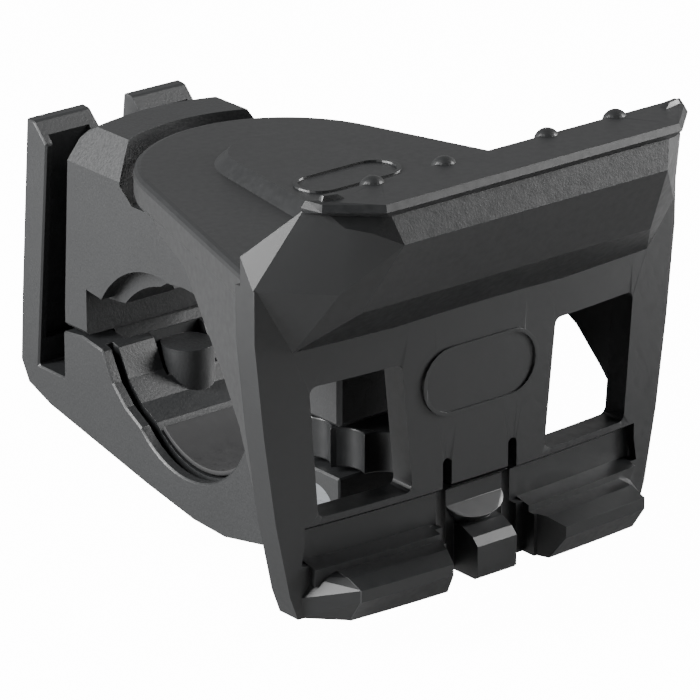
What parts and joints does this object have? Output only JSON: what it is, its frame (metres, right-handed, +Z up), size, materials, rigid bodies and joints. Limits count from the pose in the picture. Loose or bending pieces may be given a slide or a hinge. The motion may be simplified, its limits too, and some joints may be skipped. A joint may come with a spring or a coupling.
{
  "type": "handlebar lamp mount",
  "caption": "Clamp mount for a round handlebar: hinged jaw with ears, scalloped thumb wheel, swivel hood arm, and a hooked plate with a sprung tongue that holds a clip-on lamp.",
  "frame": {"origin": "centre of the round bar that the clamp holds, at the middle of the clamp's width", "axes": "+X along the bar, -Y towards the lamp plate's face, +Z up along the swivel axis"},
  "size_m": [0.062, 0.082, 0.056],
  "materials": {
    "glass_filled_nylon": "fine grain",
    "satin_nylon": "satin",
    "moulded_rubber": "matte",
    "zinc_steel": "zinc plated"
  },
  "bodies": {
    "clamp": {"clamp_body": "glass_filled_nylon", "jaw_hinge_pin": "zinc_steel", "upper_bar_pad": "moulded_rubber", "screw_washer": "zinc_steel", "swivel_washer": "zinc_steel", "friction_ring": "moulded_rubber"},
    "wheel": {"thumb_wheel": "glass_filled_nylon", "clamp_screw": "zinc_steel"},
    "jaw": {"lower_jaw": "glass_filled_nylon", "lower_bar_pad": "moulded_rubber", "barrel_nut": "zinc_steel"},
    "arm": {"swivel_arm": "satin_nylon", "swivel_screw": "zinc_steel"},
    "tongue": {"latch_tongue": "satin_nylon"}
  },
  "joints": [
    {"name": "wheel_turn", "type": "hinge", "parent": "clamp", "child": "wheel", "pos_m": [0, -0.0242, 0], "axis": [0, 0, 1], "range_deg": [0, 1800]},
    {"name": "jaw_open", "type": "hinge", "parent": "clamp", "child": "jaw", "pos_m": [0, 0.0204, -0.0038], "axis": [1, 0, 0], "range_deg": [0, 4.5]},
    {"name": "arm_swivel", "type": "hinge", "parent": "clamp", "child": "arm", "pos_m": [0, -0.0045, 0], "axis": [0, 0, 1], "range_deg": [-18, 18]},
    {"name": "tongue_flex", "type": "hinge", "parent": "arm", "child": "tongue", "pos_m": [0, -0.0381, -0.0021], "axis": [1, 0, 0], "range_deg": [0, 6], "stiffness_Nm_per_rad": 0.25}
  ],
  "couplings": [
    {"joint": "jaw_open", "follows": "wheel_turn", "ratio": 0.0025}
  ]
}
